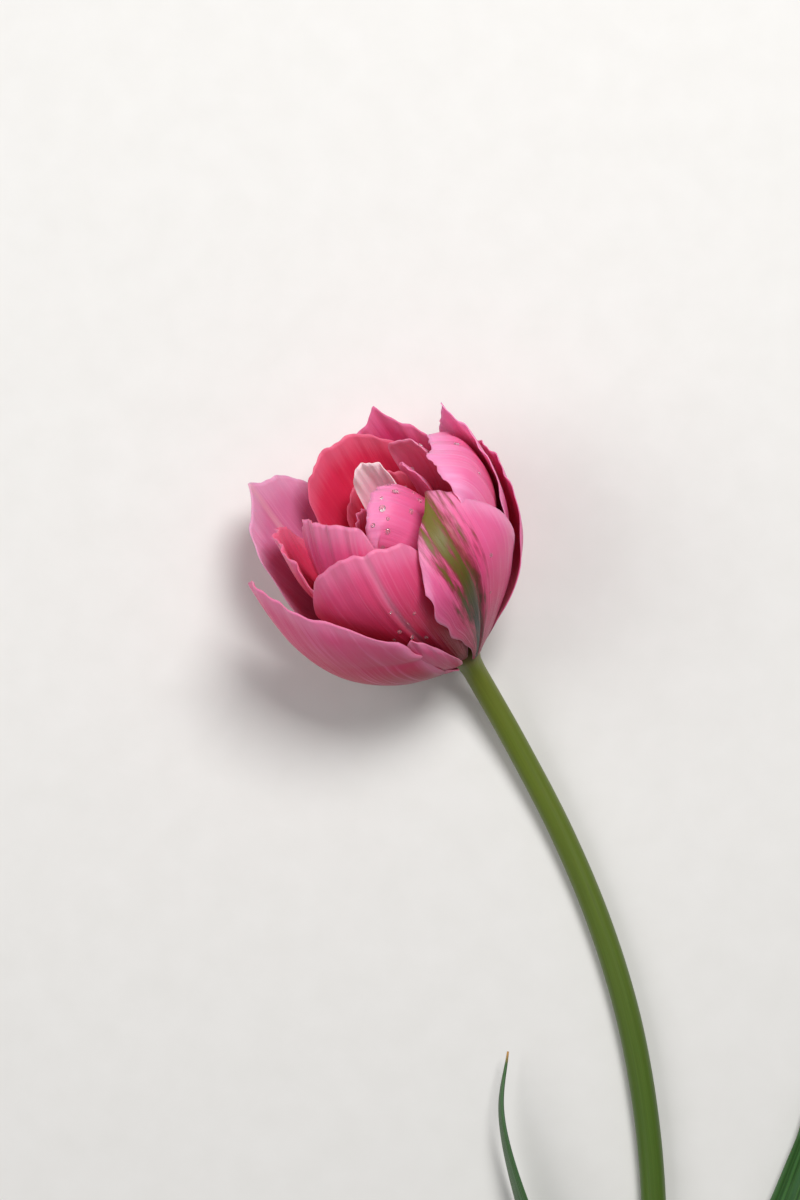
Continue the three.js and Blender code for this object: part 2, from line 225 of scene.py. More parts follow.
stem_points = (centres[:, None] + radius[:, None, None] * ridge[None, :, None]
               * (np.cos(turn)[None, :, None] * across[:, None]
                  + np.sin(turn)[None, :, None] * above[:, None])).reshape(-1, 3)

# Living stalk with a thin wax coat: satin, fresh green, browner just under the head,
# with fine fibres along it about 0.4 mm apart.
stalk, tree, shader = new_material("stalk_waxy_green")
uv = node(tree, "ShaderNodeTexCoord").outputs["UV"]
parts = node(tree, "ShaderNodeSeparateXYZ", Vector=uv)
fibre_place = node(tree, "ShaderNodeCombineXYZ", X=node(
    tree, "ShaderNodeMath", {"operation": "MULTIPLY"}, _0=parts.outputs["X"], _1=56.0).outputs[0],
    Y=node(tree, "ShaderNodeMath", {"operation": "MULTIPLY"}, _0=parts.outputs["Y"],
           _1=9.0).outputs[0])
fibres = node(tree, "ShaderNodeTexNoise", Vector=fibre_place.outputs[0], Scale=1.0, Detail=3.0)
length_tint = node(tree, "ShaderNodeValToRGB", Fac=parts.outputs["Y"])
stops = length_tint.color_ramp.elements
stops[0].color = colour("#7a4a30")
stops[1].color = colour("#4c6e26")
for position, tint in ((0.035, "#6c7426"), (0.12, "#61701e"), (0.5, "#4a641a")):
    stops.new(position).color = colour(tint)
darker = node(tree, "ShaderNodeMix", {"data_type": "RGBA", "blend_type": "MULTIPLY"},
              Factor=0.35, _6=length_tint.outputs["Color"], _7=node(
                  tree, "ShaderNodeMapRange", Value=fibres.outputs["Fac"], From_Min=0.3,
                  From_Max=0.7, To_Min=0.55, To_Max=1.15).outputs[0])
tree.links.new(darker.outputs[2], shader.inputs["Base Color"])
fibre_bump = node(tree, "ShaderNodeBump", Height=fibres.outputs["Fac"], Strength=0.12,
                  Distance=0.0004)
tree.links.new(fibre_bump.outputs["Normal"], shader.inputs["Normal"])
shader.inputs["Roughness"].default_value = 0.42
shader.inputs["IOR"].default_value = 1.45
shader.inputs["Subsurface Weight"].default_value = 0.12
shader.inputs["Subsurface Scale"].default_value = 0.0015

rings = len(where)
stem_faces = grid_faces(rings - 1, SIDES, closed=True)
stem_faces.append(tuple(range(SIDES)))
stem = mesh_piece("stem_stalk", stem_points * MM, [f[::-1] for f in stem_faces], [stalk])
lay_uv(stem, np.stack([np.tile(np.arange(SIDES) / SIDES, rings),
                       np.repeat(np.minimum(where / stem_end, 1), SIDES)], -1))
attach(stem, "root")
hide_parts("stem")


# ---- the leaves ------------------------------------------------------------------------
def blade_faces(rows, columns):
    """Faces of a thin blade: its upper sheet, its under sheet and the rim between them."""
    wide = columns + 1
    under = (rows + 1) * wide
    rim = ([j for j in range(columns)] + [i * wide + columns for i in range(rows)]
           + [rows * wide + j for j in range(columns, 0, -1)]
           + [i * wide for i in range(rows, 0, -1)])
    upper_faces = grid_faces(rows, columns)
    under_faces = [f[::-1] for f in grid_faces(rows, columns, start=under)]
    rim_faces = [(b, a, under + a, under + b) for a, b in zip(rim, rim[1:] + rim[:1])]
    return upper_faces, under_faces, rim_faces


# Two long fleshy leaves, folded like a gutter, 1.1 mm thick along the middle. Each clasps the
# stalk with its foot and leans away from it to a blunt point that is a little dry and pale.
LEAVES = [
    dict(name="leaf_left", half_width=10.5, lean=(135, 105), bend=(5, 14),
         keel=[(63.5, -266, 7), (59, -240, 10), (50, -215, 10.8), (41, -193, 10.8),
               (33.6, -171, 10.4), (28.8, -146, 9), (30.9, -129.3, 7)]),
    dict(name="leaf_right", half_width=15, lean=(-110, 0), bend=(5, 24),
         keel=[(75.6, -236, 5.3), (84, -221, 9.8), (100, -205, 11.4), (115, -186, 8),
               (124, -160, 3), (127, -130, 1.6), (127, -98, 2)]),
]

# Living leaf with a blue-grey wax bloom: satin, dark green, with parallel veins 0.8 mm apart
# that run its whole length.
leaf_green, tree, shader = new_material("leaf_waxy_green")
uv = node(tree, "ShaderNodeTexCoord").outputs["UV"]
parts = node(tree, "ShaderNodeSeparateXYZ", Vector=uv)
vein_place = node(tree, "ShaderNodeCombineXYZ", X=node(
    tree, "ShaderNodeMath", {"operation": "MULTIPLY"}, _0=parts.outputs["X"], _1=16.0).outputs[0],
    Y=node(tree, "ShaderNodeMath", {"operation": "MULTIPLY"}, _0=parts.outputs["Y"],
           _1=1.5).outputs[0])
leaf_veins = node(tree, "ShaderNodeTexNoise", Vector=vein_place.outputs[0], Scale=1.0, Detail=4.0)
bloom = node(tree, "ShaderNodeTexNoise", Vector=uv, Scale=6.0, Detail=5.0)
vein_tint = node(tree, "ShaderNodeMix", {"data_type": "RGBA"}, Factor=node(
    tree, "ShaderNodeMapRange", Value=leaf_veins.outputs["Fac"], From_Min=0.35,
    From_Max=0.65).outputs[0], _6=colour("#1c3f14"), _7=colour("#3d6a2c"))
bloom_tint = node(tree, "ShaderNodeMix", {"data_type": "RGBA"}, Factor=node(
    tree, "ShaderNodeMapRange", Value=bloom.outputs["Fac"], From_Min=0.45, From_Max=0.75,
    To_Max=0.5).outputs[0], _6=vein_tint.outputs[2], _7=colour("#4f7a52"))
tip_tint = node(tree, "ShaderNodeMix", {"data_type": "RGBA"}, Factor=node(
    tree, "ShaderNodeMapRange", Value=parts.outputs["Y"], From_Min=0.975,
    From_Max=0.995).outputs[0], _6=bloom_tint.outputs[2], _7=colour("#b98a4a"))
tree.links.new(tip_tint.outputs[2], shader.inputs["Base Color"])
vein_bump = node(tree, "ShaderNodeBump", Height=leaf_veins.outputs["Fac"], Strength=0.4,
                 Distance=0.0006)
tree.links.new(vein_bump.outputs["Normal"], shader.inputs["Normal"])
shader.inputs["Roughness"].default_value = 0.4
shader.inputs["IOR"].default_value = 1.45
shader.inputs["Subsurface Weight"].default_value = 0.1
shader.inputs["Subsurface Scale"].default_value = 0.001

for leaf in LEAVES:
    rows, columns = 130, 24
    keel, keel_lengths = smooth_line([CENTRING + np.array(p) for p in leaf["keel"]], 900)
    share = np.linspace(0, 1, rows + 1)
    centres, ways = along(keel, keel_lengths, share * keel_lengths[-1])
    level = np.cross((0, 0, 1.0), ways)
    level /= np.linalg.norm(level, axis=1, keepdims=True)
    above = np.cross(ways, level)
    settled = np.minimum(1, 1.6 * share)
    tilt = np.radians(leaf["lean"][0] + (leaf["lean"][1] - leaf["lean"][0]) * settled)[:, None]
    curve = (leaf["bend"][0] + (leaf["bend"][1] - leaf["bend"][0]) * settled)[:, None, None]
    across = (level * np.cos(tilt) + above * np.sin(tilt))[:, None]
    inside = (above * np.cos(tilt) - level * np.sin(tilt))[:, None]
    swell = 0.3 + 0.7 * np.sin(math.pi * share ** 0.8)
    width = leaf["half_width"] * swell * (1 - 0.96 * share ** 4)
    side = np.linspace(-1, 1, columns + 1)
    angle = (side[None] * width[:, None])[..., None] / curve
    sheets = []
    for skin in (0.55, -0.55):
        thin = skin * (1 - 0.75 * side ** 4)[None, :, None] * (1 - 0.6 * share ** 8)[:, None, None]
        ripple = 0.25 * np.sin(9 * share + 2 * side[:, None]).T * side ** 4
        depth = thin + ripple[..., None]
        sheets.append((centres[:, None] + across * (curve + depth) * np.sin(angle)
                       + inside * (curve - (curve + depth) * np.cos(angle))).reshape(-1, 3))
    leaf_faces = sum(blade_faces(rows, columns), [])
    blade = mesh_piece(leaf["name"] + "_blade", np.concatenate(sheets) * MM, leaf_faces,
                       [leaf_green])
    across_and_along = [np.tile(side, rows + 1), np.repeat(share, columns + 1)]
    lay_uv(blade, np.tile(np.stack(across_and_along, -1), (2, 1)))
    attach(blade, "root")
    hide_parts(leaf["name"])


# ---- the petals ------------------------------------------------------------------------
# Each petal is one thin fleshy blade, 0.6 mm thick at its foot and 0.25 mm at its edge,
# cupped round the head. Its veins fan out from the foot to the edge, the edge is frilled
# and paler, and the face inside the cup is redder than the one outside.

PLAIN_PETAL = dict(
    claw=0.13, spread=0.9, shoulder=0.6, flat=2.2, round=2.0, skew=0.0, edge=None, ruffle=0.012,
    ruffles=7.0, lopsided=0.0, tip=0.3, tip_width=0.07, min_radius=9.0, square=0.0, crease=0.0,
    press_left=0.0, press_right=0.0, frill=0.4, waves=5.0, phase=0.0, nicks=0.003, lumps=())


def petal_blade(petal, up, side, skin):
    """Points of a petal in mm: up 0..1 from foot to edge, side -1..1, skin off its middle."""
    line, lengths = petal["line"]
    length = lengths[-1]
    off = np.abs(side)
    nick = petal["nicks"] * petal["half_width"] / 20 * (np.sin(17 * side + petal["phase"])
                             + 0.6 * np.sin(41 * side + 2 * petal["phase"]))
    point = petal["tip"] / length * np.exp(-(off / petal["tip_width"]) ** 1.3)
    lobe = np.interp(side, petal["edge_line"][:, 0], petal["edge_line"][:, 1])
    reach = np.minimum(1, np.clip(lobe - petal["tip"] / length + nick, 0, None) + point)
    share = up * reach
    feet, ways = along(line, lengths, share * length)
    slope = np.stack([ways[..., 0], ways[..., 2]], -1)
    slope /= np.linalg.norm(slope, axis=-1, keepdims=True)
    width = petal["claw"] + (1 - petal["claw"]) * np.sin(math.pi / 2 * up) ** petal["spread"]
    arc = side * petal["half_width"] * width * (1 + petal["lopsided"] * side)
    arc *= 1 + (petal["ruffle"] * np.minimum(1, 2 * up) * off ** 4
                * np.sin(petal["ruffles"] * math.pi * up + petal["phase"]))
    least = petal["min_radius"] * np.minimum(1, share * length / 8 + 0.45)
    radius = np.maximum(feet[..., 0], least)
    angle = arc / radius
    inward = np.stack([1 - petal["square"] + petal["square"] * slope[..., 1],
                       -petal["square"] * slope[..., 0]], -1)
    inward *= (radius * (np.cos(angle) - 1)
               / np.linalg.norm(inward, axis=-1))[..., None]
    fold = petal["crease"] * np.exp(-(side / 0.09) ** 2) * np.sin(math.pi * 0.9 * up ** 0.8)
    press = (petal["press_right"] * np.clip(side, 0, 1) ** 1.5
             + petal["press_left"] * np.clip(-side, 0, 1) ** 1.5) * np.minimum(1, 1.6 * up) ** 1.5
    rim = np.maximum(up ** 5, (off ** 8) * np.minimum(1, 2 * up))
    frill = petal["frill"] * rim * (np.sin(petal["waves"] * side * math.pi + petal["phase"])
                                    + 0.5 * np.sin(2.3 * petal["waves"] * side * math.pi
                                                   + 5 * up + 2 * petal["phase"]))
    lump = sum(size * np.exp(-((up - at_up) / wide_up) ** 2 - ((side - at_side) / wide_side) ** 2)
               for at_up, at_side, wide_up, wide_side, size in petal["lumps"])
    lift = fold + press + frill + lump + skin
    head = np.stack([
        feet[..., 0] + inward[..., 0] + lift * slope[..., 1] * np.cos(angle),
        feet[..., 1] + radius * np.sin(angle) + lift * slope[..., 1] * np.sin(angle),
        feet[..., 2] + inward[..., 1] - lift * slope[..., 0],
    ], -1)
    turn = math.radians(petal["azimuth"])
    front = head[..., 0] * math.cos(turn) - head[..., 1] * math.sin(turn)
    right = head[..., 0] * math.sin(turn) + head[..., 1] * math.cos(turn)
    return (RECEPTACLE + front[..., None] * HEAD_FRONT + right[..., None] * HEAD_RIGHT
            + head[..., 2:] * HEAD_AXIS)


# Living petal tissue, satin with a little sheen from its surface cells. Light scatters a
# millimetre or two inside it. Veins about 0.7 mm apart run from the foot to the edge.
def petal_skin(name, foot, middle, edge, rim, vein, half_width, seed, vein_depth=0.5,
               midrib=None, flame=None):
    material, tree, shader = new_material(name)
    uv = node(tree, "ShaderNodeTexCoord").outputs["UV"]
    parts = node(tree, "ShaderNodeSeparateXYZ", Vector=uv)
    side, up = parts.outputs["X"], parts.outputs["Y"]

    def maths(operation, first, second=0.0, third=0.0):
        return node(tree, "ShaderNodeMath", {"operation": operation}, _0=first, _1=second,
                    _2=third).outputs[0]

    def blend(factor, first, second):
        return node(tree, "ShaderNodeMix", {"data_type": "RGBA"}, Factor=factor, _6=first,
                    _7=second).outputs[2]

    def soften(value, low, high):
        return node(tree, "ShaderNodeMapRange", {"interpolation_type": "SMOOTHSTEP"}, Value=value,
                    From_Min=low, From_Max=high).outputs[0]

    def streaks(per_width, per_length, detail):
        place = node(tree, "ShaderNodeCombineXYZ", X=maths("MULTIPLY", side, per_width),
                     Y=maths("MULTIPLY", up, per_length), Z=float(seed))
        return node(tree, "ShaderNodeTexNoise", Vector=place.outputs[0], Scale=1.0, Detail=detail,
                    Roughness=0.6).outputs["Fac"]

    # The ramp below runs from the foot colour through the middle to the edge colour. Its dark foot
    # end is painted shade, deep in the cup round the petal's foot.
    patches = streaks(half_width * 0.12, 2.2, 2.0)
    base = node(tree, "ShaderNodeValToRGB",
                Fac=maths("MULTIPLY_ADD", patches, 0.24, maths("ADD", up, -0.12)))
    stops = base.color_ramp.elements
    stops[0].position, stops[0].color = 0.05, colour(foot)
    stops[1].position, stops[1].color = 0.95, colour(edge)
    stops.new(0.5).color = colour(middle)
    veins = streaks(half_width * 1.4, 1.6, 4.0)
    broad = streaks(half_width * 0.45, 1.0, 2.0)
    skin = blend(maths("MULTIPLY", soften(veins, 0.5, 0.72), vein_depth),
                 base.outputs["Color"], colour(vein))
    skin = blend(maths("MULTIPLY", soften(broad, 0.5, 0.75), 0.2 * vein_depth), skin,
                 colour(rim))
    side_off = maths("ABSOLUTE", side)
    near_edge = maths("MAXIMUM", soften(maths("ADD", up, maths("MULTIPLY", veins, 0.08)), 0.9,
                                        1.03), soften(side_off, 0.93, 1.0))
    skin = blend(maths("MULTIPLY", near_edge, 0.5), skin, colour(rim))
    if midrib:
        near_rib = maths("SUBTRACT", 1.0, soften(side_off, 0.015, 0.07))
        skin = blend(maths("MULTIPLY", near_rib, 0.5), skin, colour(midrib))
    if flame:
        wander = maths("MULTIPLY_ADD", streaks(half_width * 0.5, 4.5, 6.0), 1.1, -0.55)
        from_rib = maths("ABSOLUTE", maths("ADD", side, flame["shift"]))
        reach = maths("MULTIPLY_ADD", up, flame["taper"], flame["width"])
        spread = maths("SUBTRACT", 1.0, soften(maths("DIVIDE", maths("ADD", from_rib, wander),
                                                     reach), 0.3, 1.05))
        skin = blend(maths("MULTIPLY", spread, 0.9), skin, colour(flame["brown"]))
        heart = maths("SUBTRACT", 1.0, soften(maths("DIVIDE", maths("ADD", from_rib, maths(
            "MULTIPLY", wander, 1.2)), reach), 0.1, 0.62))
        green = blend(soften(up, 0.3, 0.95), colour(flame["green"]), colour(flame["tip"]))
        skin = blend(heart, skin, green)
    tree.links.new(skin, shader.inputs["Base Color"])
    height = maths("ADD", maths("MULTIPLY", veins, 0.6), maths("MULTIPLY", broad, 0.8))
    bump = node(tree, "ShaderNodeBump", Height=height, Strength=0.35, Distance=0.0008)
    tree.links.new(bump.outputs["Normal"], shader.inputs["Normal"])
    shader.inputs["Roughness"].default_value = 0.45
    shader.inputs["IOR"].default_value = 1.38
    shader.inputs["Subsurface Weight"].default_value = 0.3
    shader.inputs["Subsurface Scale"].default_value = 0.002
    shader.inputs["Subsurface Radius"].default_value = (1.0, 0.3, 0.38)
    shader.inputs["Sheen Weight"].default_value = 0.05
    shader.inputs["Sheen Roughness"].default_value = 0.4
    return material


GROWN = {}


def grow_petal(name, slot, outside, inside, **choices):
    """Builds a petal's blade, gives its two faces their skins and hangs it on the head."""
    petal = {**PLAIN_PETAL, **choices}
    petal["line"] = smooth_line([(p[0], p[2] if len(p) > 2 else 0, p[1]) for p in petal["rib"]],
                                900)
    if petal["edge"] is None:
        sides = np.linspace(-1, 1, 81)
        crown = np.clip(1 - np.abs(sides) ** petal["flat"], 0, 1) ** (1 / petal["round"])
        lean = 1 + petal["skew"] * sides * (1 - sides ** 2)
        petal["edge_line"] = np.stack(
            [sides, (petal["shoulder"] + (1 - petal["shoulder"]) * crown) * lean], -1)
    else:
        petal["edge_line"] = smooth_line([(a, b, 0) for a, b in petal["edge"]], 80)[0]
    rows, columns = 44, 56
    up = np.linspace(0, 1, rows + 1) ** 0.9
    side = np.linspace(-1, 1, columns + 1)
    up, side = np.meshgrid(up, side, indexing="ij")
    thin = 0.3 - 0.17 * np.maximum(up, np.abs(side)) ** 3
    points = np.concatenate([petal_blade(petal, up, side, thin).reshape(-1, 3),
                             petal_blade(petal, up, side, -thin).reshape(-1, 3)])
    out_faces, in_faces, edge_faces = blade_faces(rows, columns)
    seed = sum(map(ord, name)) % 97
    skins = [petal_skin(f"petal_{face}_{name}", half_width=petal["half_width"], seed=seed + k,
                        **tints)
             for k, (face, tints) in enumerate((("outside", outside), ("inside", inside)))]
    piece = mesh_piece(name + "_blade", points * MM, out_faces + in_faces + edge_faces, skins)
    piece.data.polygons.foreach_set("material_index", [0] * len(out_faces) + [1] * len(in_faces)
                                    + [1] * len(edge_faces))
    lay_uv(piece, np.tile(np.stack([side.ravel(), up.ravel()], -1), (2, 1)))
    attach(piece, "root")
    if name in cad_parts:
        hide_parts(name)
    GROWN[name] = petal


# In these palettes and in those given to the petals below, the dark foot colour is painted shade at
# the bottom of the cup.
ROSE_OUTSIDE = dict(foot="#8c0f36", middle="#d12a66", edge="#e4568e", rim="#f39bc0", vein="#ea74a4")
ROSE_INSIDE = dict(foot="#8a0828", middle="#cf1440", edge="#e03a6c", rim="#f08fb2", vein="#e64c7a")
# A darker copy of ROSE_INSIDE for the inside faces of the inner whorl and the core: painted shade
# deep in the cup.
SHADED_INSIDE = dict(foot="#78031a", middle="#c60c30", edge="#d6284c", rim="#ee7f9e", vein="#dd3a5a")

# Outer whorl. The flamed petal keeps the green of the bud along its midrib.
grow_petal(
    "petal_outer_flamed", "petal_flamed",
    dict(foot="#a01444", middle="#da2c70", edge="#ee6a9e", rim="#f5a0c4", vein="#f284ac",
         midrib="#8f5a30",
         flame=dict(width=0.54, taper=-0.1, shift=0.22, brown="#6e2218", green="#0d0f04",
                    tip="#6b6220")),
    ROSE_INSIDE,
    azimuth=24, half_width=19.5, claw=0.1, lopsided=0.22, spread=1.7, tip=2, tip_width=0.08,
    edge=[(-1, 0.7), (-0.75, 0.81), (-0.5, 0.9), (-0.25, 0.95), (0, 1), (0.3, 0.95), (0.6, 0.83),
          (0.85, 0.68), (1, 0.52)],
    crease=-1, press_left=0.5, press_right=1.2, frill=0.4, waves=3, ruffle=0.05, ruffles=8,
    rib=[(6.3, 1), (14.5, 9.8), (25.5, 24), (31.5, 39, 1), (28, 50, 3), (18.5, 59, 7)])
# This petal's outside palette is darker than the other outsides: painted shade on its lower belly.
grow_petal(
    "petal_outer_left", "petal_outer",
    dict(ROSE_OUTSIDE, foot="#5e0620", middle="#c01c4c", edge="#e2568a"),
    dict(ROSE_INSIDE, edge="#dc5a86"),
    azimuth=-84, half_width=25, lopsided=0.48, spread=1.05, tip=0.8, tip_width=0.12,
    edge=[(-1, 0.56), (-0.6, 0.82), (-0.2, 0.98), (0, 1), (0.2, 0.98), (0.5, 0.89), (0.8, 0.78),
          (1, 0.6)],
    press_left=1, press_right=-8, frill=0.4,
    rib=[(6.3, 1), (15.5, 4.6), (24.5, 9.3), (33.6, 18.8), (39.4, 35), (40, 53), (39.3, 58.5, 1)])
grow_petal(
    "petal_outer_right", "petal_outer", ROSE_OUTSIDE,
    dict(ROSE_INSIDE, foot="#b01444", middle="#d83470", edge="#ec609c"),
    azimuth=104, half_width=21, claw=0.12, tip=0.5,
    edge=[(-1, 0.5), (-0.7, 0.82), (-0.4, 0.94), (0, 1), (0.5, 0.94), (1, 0.6)],
    press_right=1, frill=0.4,
    rib=[(6.3, 1), (14, 8), (24.5, 17), (31.5, 27), (35.5, 41), (36.5, 50)])
grow_petal(
    "petal_outer_back", "petal_outer", ROSE_OUTSIDE,
    dict(ROSE_INSIDE, middle="#c82c5e", edge="#d84a84"),
    azimuth=152, half_width=20.5, claw=0.11, tip=3, tip_width=0.09,
    edge=[(-1, 0.62), (-0.7, 0.78), (-0.35, 0.9), (0, 1), (0.3, 0.97), (0.6, 0.9), (1, 0.6)],
    frill=0.4, phase=1.1,
    rib=[(5.8, 2.3), (18.3, 7.9), (29.6, 24), (33.6, 46), (31.6, 67.7)])
grow_petal(
    "petal_outer_back_left", "petal_outer", ROSE_OUTSIDE,
    dict(foot="#94244a", middle="#c24a7a", edge="#d07ba4", rim="#e8b0cb", vein="#dc92b6",
         midrib="#e0a8b4"),
    azimuth=-137, half_width=25, claw=0.1, spread=0.7, lopsided=0.16, tip=3, tip_width=0.09,
    edge=[(-1, 0.66), (-0.7, 0.87), (-0.4, 0.97), (0, 1), (0.4, 0.93), (0.7, 0.78), (1, 0.5)],
    frill=0.5, waves=4, phase=2.0,
    rib=[(5.7, 2.5), (15.3, 9.7), (27.5, 24), (36, 46), (38, 68)])
grow_petal(
    "petal_outer_back_right", "petal_outer", ROSE_OUTSIDE,
    dict(ROSE_INSIDE, foot="#b81c4c", middle="#e0407c", edge="#f070a8", rim="#f6a8cb",
         vein="#f080b0"),
    azimuth=108, half_width=21, tip=3, tip_width=0.09, lopsided=-0.1,
    edge=[(-1, 0.64), (-0.7, 0.82), (-0.35, 0.93), (0, 1), (0.35, 0.93), (0.7, 0.8), (1, 0.6)],
    press_right=-2, press_left=-0.5, frill=0.4, phase=0.4,
    rib=[(5.5, 3.1), (12, 10.8), (22.5, 20), (31, 34), (34, 50), (32.5, 66.8)])
grow_petal(
    "petal_front_notched", "petal_outer",
    dict(foot="#7a0420", middle="#d6204e", edge="#e8588a", rim="#f190b4", vein="#ee6f98",
         vein_depth=0.5, midrib="#f090b0"),
    ROSE_INSIDE,
    azimuth=-21, half_width=24.5, lopsided=-0.27, spread=1.05, tip=0.3,
    edge=[(-1, 0.62), (-0.75, 0.83), (-0.5, 0.93), (-0.25, 0.965), (-0.08, 0.97), (0, 0.945),
          (0.1, 0.96), (0.3, 0.94), (0.6, 0.9), (1, 0.72)],
    crease=-0.9, press_left=1, press_right=-5.5, frill=0.3, waves=6,
    lumps=[(0.6, -0.07, 0.45, 0.03, 0.7), (0.6, 0.05, 0.45, 0.03, 0.7)],
    rib=[(5.8, 2.3), (14.4, 11), (24, 26), (28.8, 43), (25.5, 61)])

# Two small blunt lobes, split from the outer whorl, lie against its foot.
LOBE_SKIN = dict(foot="#9c1640", middle="#c93466", edge="#dc5c8a", rim="#ee9cbc", vein="#e4749c")
grow_petal(
    "petal_foot_lobe_upper", "petal_outer", LOBE_SKIN, ROSE_INSIDE,
    azimuth=-24, half_width=6, claw=0.2, spread=1.1, shoulder=0.5, flat=2, tip=0.8, tip_width=0.2,
    frill=0.3, waves=2, rib=[(9, 3), (16.4, 8), (22, 14.5), (25.6, 21.5), (26.6, 27.5)])
grow_petal(
    "petal_foot_lobe_lower", "petal_outer", LOBE_SKIN, ROSE_INSIDE,
    azimuth=-38, half_width=5, claw=0.25, spread=1, shoulder=0.5, flat=2, tip=0.8, tip_width=0.2,
    frill=0.3, waves=2, phase=1.3, rib=[(8, 1.5), (13, 4.6), (17.4, 9), (20, 14.5)])

# Second whorl, standing inside the first.
grow_petal(
    "petal_inner_right", "petal_inner",
    dict(foot="#c01c56", middle="#e64680", edge="#f476a8", rim="#f9a8d0", vein="#f793be",
         vein_depth=0.7),
    ROSE_INSIDE,
    azimuth=76, half_width=21, lopsided=0.1, tip=1.5,
    edge=[(-1, 0.68), (-0.7, 0.86), (-0.4, 0.95), (0, 1), (0.4, 0.98), (0.8, 0.92), (1, 0.72)],
    crease=-0.8, press_left=-4.4, press_right=2, square=0.2, frill=0.4, waves=7, phase=0.7,
    rib=[(5, 4), (11.3, 13.2), (19.5, 22), (26, 32), (31, 44), (29.5, 56), (20, 63)])
grow_petal(
    "petal_inner_back_left", "petal_inner", ROSE_OUTSIDE,
    dict(SHADED_INSIDE, middle="#cc1238", edge="#d8345c"),
    azimuth=-175, half_width=20, lopsided=-0.2, tip=0.5,
    edge=[(-1, 0.8), (-0.5, 0.98), (0, 1), (0.4, 0.96), (0.75, 0.86), (1, 0.66)],
    frill=0.5, waves=4, rib=[(5.2, 3.7), (10.8, 13.8), (19.4, 27), (26, 44), (25.5, 66)])
grow_petal(
    "petal_inner_front_left", "petal_inner",
    dict(foot="#a0103c", middle="#cf2c60", edge="#dc5488", rim="#ee98b8", vein="#e676a0",
         vein_depth=0.5),
    SHADED_INSIDE,
    azimuth=-62, half_width=19, tip=0.5, press_left=-1.2,
    edge=[(-1, 0.72), (-0.7, 0.9), (-0.3, 1), (0.1, 1), (0.5, 0.98), (0.8, 0.93), (1, 0.8)],
    frill=0.5, waves=6, phase=1.7,
    rib=[(4.6, 4.8), (9.4, 14.2), (18.8, 27), (23.4, 42), (22, 55), (18, 66)])
grow_petal(
    "petal_inner_left", "petal_inner",
    dict(ROSE_OUTSIDE, middle="#cc2656", edge="#dc4a78"), dict(SHADED_INSIDE, edge="#dc4670"),
    azimuth=-102, half_width=16.5, shoulder=0.66, tip=1, press_left=0.8, press_right=-1.6,
    frill=0.6, phase=0.9, rib=[(5.4, 3.4), (11.9, 12.6), (22, 27), (28.2, 44), (27.6, 62)])
grow_petal(
    "petal_inner_back_right", "petal_inner", ROSE_OUTSIDE,
    dict(SHADED_INSIDE, middle="#d82450", edge="#ee6a94", rim="#f49cba"),
    azimuth=122, half_width=11, shoulder=0.85, flat=3, tip=0.2, press_left=-1, frill=0.3,
    waves=2, nicks=0.001, phase=2.6,
    rib=[(4.6, 4.8), (9, 16), (17.6, 28), (22.4, 44), (23, 56), (20.5, 62.5)])

# The core: short petals and two petal-like stamens that fill the mouth of the cup.
grow_petal(
    "petal_core_right", "petal_inner",
    dict(foot="#cc1c50", middle="#e64680", edge="#f270a4", rim="#f79cc4", vein="#f484b2"),
    SHADED_INSIDE,
    azimuth=60, half_width=16, claw=0.16, spread=1.1, lopsided=-0.25, min_radius=13,
    edge=[(-1, 0.97), (-0.6, 0.99), (0, 0.99), (0.6, 0.96), (1, 0.84)],
    square=1, frill=0.25, waves=7,
    rib=[(4.1, 5.9), (7.2, 17), (13, 30, -1), (14.5, 47, -1), (9, 59, -3), (2.5, 62, -4)])
grow_petal(
    "petal_core_back", "petal_inner", ROSE_OUTSIDE, SHADED_INSIDE,
    azimuth=168, half_width=13, shoulder=0.75, frill=0.5,
    rib=[(4.1, 5.9), (7, 17.5), (14.6, 30), (19.4, 43), (19.5, 55)])
grow_petal(
    "petal_core_left", "petal_inner", ROSE_OUTSIDE, ROSE_INSIDE,
    azimuth=-135, half_width=7, claw=0.2, spread=1.2, shoulder=0.7, min_radius=6, square=0.5,
    rib=[(4.1, 5.9), (6.8, 18), (9.5, 30), (9.5, 45), (6, 54.5)])
grow_petal(
    "petal_core_front", "petal_inner", ROSE_OUTSIDE, SHADED_INSIDE,
    azimuth=-22, half_width=10.5, shoulder=0.7,
    rib=[(4.1, 5.9), (8.4, 16), (16.4, 27), (20, 40), (17.5, 52)])
grow_petal(
    "petaloid_bright", "petal_inner",
    dict(ROSE_OUTSIDE, edge="#f078aa"), dict(ROSE_INSIDE, middle="#e25387", edge="#f376a8"),
    azimuth=104, half_width=6.5, claw=0.1, spread=1.3, shoulder=0.8, flat=3, min_radius=8, square=1,
    frill=0.3, waves=2, nicks=0.001,
    rib=[(3.4, 7.4), (5.6, 20), (14.5, 37), (16, 53), (13.5, 60.5)])
grow_petal(
    "petaloid_pale", "petal_inner",
    dict(foot="#d83a6c", middle="#ee7ba4", edge="#f8bccb", rim="#ffe6e6", vein="#fbd2da"),
    dict(foot="#d83a6c", middle="#ee7ba4", edge="#f8bccb", rim="#ffe6e6", vein="#fbd2da"),
    azimuth=150, half_width=7, claw=0.1, spread=1.3, shoulder=0.8, flat=3, min_radius=7,
    square=1, frill=0.5, waves=2.5, nicks=0.001,
    rib=[(3.4, 7.4), (5, 20.5), (7.5, 40), (9.5, 54), (8.6, 65)])


# ---- the pistil and the stamens ----------------------------------------------------------
# At the bottom of the cup stands a ribbed green ovary with a cream three-lobed stigma, and
# round it six stamens with dark purple anthers on thin yellow-green threads.

